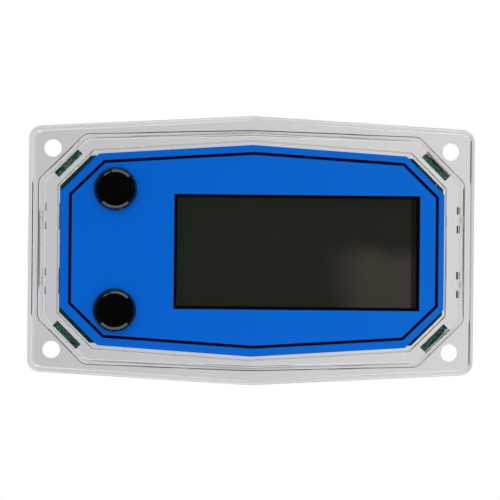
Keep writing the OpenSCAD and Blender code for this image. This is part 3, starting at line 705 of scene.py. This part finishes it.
def stage_floor():
    """A pale floor disc under the object, whose rim fades out into the white surroundings.

    Reflections look through it."""
    mesh = bpy.data.meshes.new("floor")
    solid = bmesh.new()
    bmesh.ops.create_circle(solid, cap_ends=True, segments=FLOOR_SEGMENTS, radius=FLOOR_R)
    solid.to_mesh(mesh)
    solid.free()
    floor = bpy.data.objects.new("floor", mesh)
    floor.location = (0, 0, FLOOR_Z)
    bpy.context.scene.collection.objects.link(floor)
    material = bpy.data.materials.new("floor_paper")
    tree = Tree(material)
    far = tree.node("ShaderNodeVectorMath", {"operation": "LENGTH"}, [tree.place()],
                    output="Value")
    paper = tree.node("ShaderNodeBsdfDiffuse", {},
                      {"Color": tree.blend(tree.noise(PAPER_CLOUD), PAPER_DARK, PAPER_LIGHT)})
    clear = tree.node("ShaderNodeBsdfTransparent")
    rim = far.above(FLOOR_R * FLOOR_FADE, FLOOR_R * FLOOR_FADE_SOFT)
    fade = rim.most(tree.rays("Is Glossy Ray"))
    tree.node("ShaderNodeOutputMaterial", {},
              [tree.node("ShaderNodeMixShader", {}, [fade, paper, clear])])
    mesh.materials.append(material)


# Directions below are unit vectors: X to the right, Y away from the camera and Z up. A step is
# the place of its middle and how soft it is.

# Backdrop behind the object, as clear and glossy pieces see it: its level in the middle, and
# steps outwards, each with the level after it
BACKDROP_MIDDLE = 0.69
BACKDROP_RIGHTWARD = [(0.033, 0.12, 0.86), (0.13, 0.05, 0.78), (0.36, 0.24, 0.86)]
BACKDROP_LEFTWARD = [(0.055, 0.03, 0.84), (0.36, 0.24, 0.72)]
BACKDROP_THROUGH = (0.0, 0.3)
BACKDROP_SHINE = (0.45, 0.3)

# Level at the sides, through clear pieces, and of the dark room round the camera
STUDIO_SIDES = 0.5
STUDIO_DARK = 0.02
FRONT_CONE = (0.86, 0.03)

# Dark card on the left, seen through clear pieces: its angles from straight back, with their soft
# edge, and its height
CARD_TURN = (math.radians(-54), math.radians(-35), math.radians(4))
CARD_HEIGHT = (0.12, 0.06)

# Soft boxes over and under the camera, seen in gloss: their level, their angles from straight up,
# how far back they reach, and the cone round the camera in which gloss sees nothing
SOFT_BOX = 3.3
BOX_OVER = (math.radians(-12), math.radians(47), math.radians(3))
BOX_UNDER = (math.radians(136), math.radians(3))
BOX_BACK = (0.2, 0.5)
BOX_CONE = (0.78, 0.04)

# Even light on all else, brighter from above
FILL = 0.95
FILL_LEAN = 0.24


def studio_world():
    """White surroundings for the camera, a studio for gloss and clear pieces, and even light."""
    world = bpy.data.worlds.new("studio")
    bpy.context.scene.world = world
    tree = Tree(world)
    x, y, z = tree.axes(tree.node("ShaderNodeTexCoord", output="Generated"))
    backdrop = BACKDROP_MIDDLE
    for outward, steps in ((x, BACKDROP_RIGHTWARD), (0 - x, BACKDROP_LEFTWARD)):
        before = BACKDROP_MIDDLE
        for edge, soft, after in steps:
            backdrop = backdrop + (after - before) * outward.above(edge, soft)
            before = after
    card = x.angle_from(y).within(*CARD_TURN) * (1 - abs(z).above(*CARD_HEIGHT))
    carded = backdrop * (1 - card)
    through = STUDIO_SIDES + (carded - STUDIO_SIDES) * y.above(*BACKDROP_THROUGH)
    shine = STUDIO_DARK + (backdrop - STUDIO_DARK) * y.above(*BACKDROP_SHINE)
    lean = x.angle_from(z)
    boxes = (lean.within(*BOX_OVER) + abs(lean).above(*BOX_UNDER)).least(1)
    boxed = shine + SOFT_BOX * boxes * (1 - y.above(*BOX_BACK))
    forward = 0 - y
    front = forward.above(*FRONT_CONE)
    seen_through = through * (1 - front) + STUDIO_DARK * front
    seen_shine = boxed * (1 - forward.above(*BOX_CONE))
    fill = (FILL + FILL_LEAN * z) * (1 - front)
    camera = tree.rays("Is Camera Ray")
    shiny = tree.rays("Is Glossy Ray")
    clear = tree.rays("Is Transmission Ray")
    lit = fill + shiny * (1 - clear) * (seen_shine - fill) + clear * (seen_through - fill)
    light = tree.node("ShaderNodeBackground", {},
                      {"Color": (1, 1, 1, 1), "Strength": camera + (1 - camera) * lit})
    tree.node("ShaderNodeOutputWorld", {}, [light])


# The key lamp's place and size in metres, and its power
KEY_PLACE = (-0.55, -0.75, 0.95)
KEY_SIZE = 0.5
KEY_WATTS = 3.0


def key_light():
    """A round area lamp over the left shoulder, which looks at the object."""
    lamp = bpy.data.lights.new("key_light", "AREA")
    lamp.shape = "DISK"
    lamp.size = KEY_SIZE
    lamp.energy = KEY_WATTS
    key = bpy.data.objects.new("key_light", lamp)
    key.location = KEY_PLACE
    key.rotation_mode = "QUATERNION"
    key.rotation_quaternion = Vector(KEY_PLACE).to_track_quat("Z", "Y")
    bpy.context.scene.collection.objects.link(key)


# The camera is a little to the left and above, shifted and rolled, as in the photograph. Its
# distance and shift are in metres, its angles in degrees and its lens in millimetres
CAMERA_FAR = 1.2
CAMERA_AZIMUTH = -1.9
CAMERA_ELEVATION = 0.4
CAMERA_ROLL = 0.57
CAMERA_SIDE = -0.22 * MM
CAMERA_LIFT = 0.13 * MM
CAMERA_LENS = 377.3
CLIP_NEAR = 0.05
CLIP_FAR = 20


def aim_camera():
    """The photograph's camera, which looks at the object along +Y."""
    camera = bpy.data.cameras.new("camera")
    camera.lens = CAMERA_LENS
    camera.clip_start = CLIP_NEAR
    camera.clip_end = CLIP_FAR
    viewer = bpy.data.objects.new("camera", camera)
    bpy.context.scene.collection.objects.link(viewer)
    turn, rise, roll = (math.radians(a) for a in (CAMERA_AZIMUTH, CAMERA_ELEVATION, CAMERA_ROLL))
    back = Vector((math.sin(turn) * math.cos(rise), -math.cos(turn) * math.cos(rise),
                   math.sin(rise)))
    right = Vector((math.cos(turn), math.sin(turn), 0))
    up = back.cross(right)
    place = CAMERA_FAR * back + CAMERA_SIDE * right + CAMERA_LIFT * up
    across = math.cos(roll) * right + math.sin(roll) * up
    upward = math.cos(roll) * up - math.sin(roll) * right
    frame_axes = Matrix((across, upward, back)).transposed().to_4x4()
    viewer.matrix_world = Matrix.Translation(place) @ frame_axes
    bpy.context.scene.camera = viewer


dress_nodes()
push_button("calibrate_button", "calibrate_key", 1)
push_button("display_button", "display_key", -1)
wound_coil()
for softened, (round_width, round_segments) in SOFTENED.items():
    soften(softened, round_width, round_segments)
stage_floor()
studio_world()
key_light()
aim_camera()

bpy.context.scene.view_settings.view_transform = "Standard"
